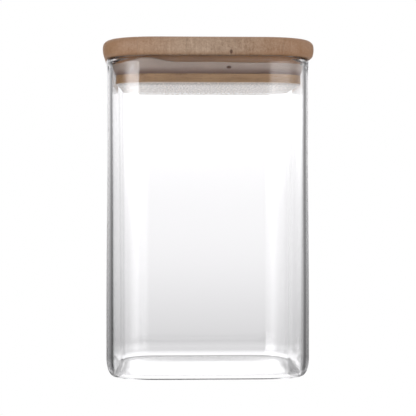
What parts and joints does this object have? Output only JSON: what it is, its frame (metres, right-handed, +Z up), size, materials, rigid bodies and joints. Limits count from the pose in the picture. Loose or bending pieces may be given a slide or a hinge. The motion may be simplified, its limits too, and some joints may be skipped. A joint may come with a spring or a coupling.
{
  "type": "lidded glass canister",
  "caption": "Tall square glass jar with rounded corners, closed by a thick wooden lid whose plug carries a flared silicone seal.",
  "frame": {"origin": "centre of the square footprint, on the surface that the canister stands on", "axes": "+Z up, the way the lid lifts off; +X to the right and +Y to the back, square to the jar's flat sides"},
  "size_m": [0.1064, 0.1064, 0.1673],
  "materials": {
    "clear_glass": "clear polished",
    "board_wood": "satin oiled",
    "plug_wood": "satin oiled",
    "silicone": "translucent matt silicone"
  },
  "bodies": {
    "jar": {"glass_jar": "clear_glass"},
    "lid": {"top_stave_1": "board_wood", "top_stave_2": "board_wood", "top_stave_3": "board_wood", "top_stave_4": "board_wood", "top_stave_5": "board_wood", "plug_stave_1": "plug_wood", "plug_stave_2": "plug_wood", "plug_stave_3": "plug_wood", "plug_stave_4": "plug_wood", "seal_ring": "silicone"}
  },
  "joints": [
    {"name": "lid_lift", "type": "slide", "parent": "jar", "child": "lid", "axis": [0, 0, 1], "range_m": [0, 0.06]}
  ]
}
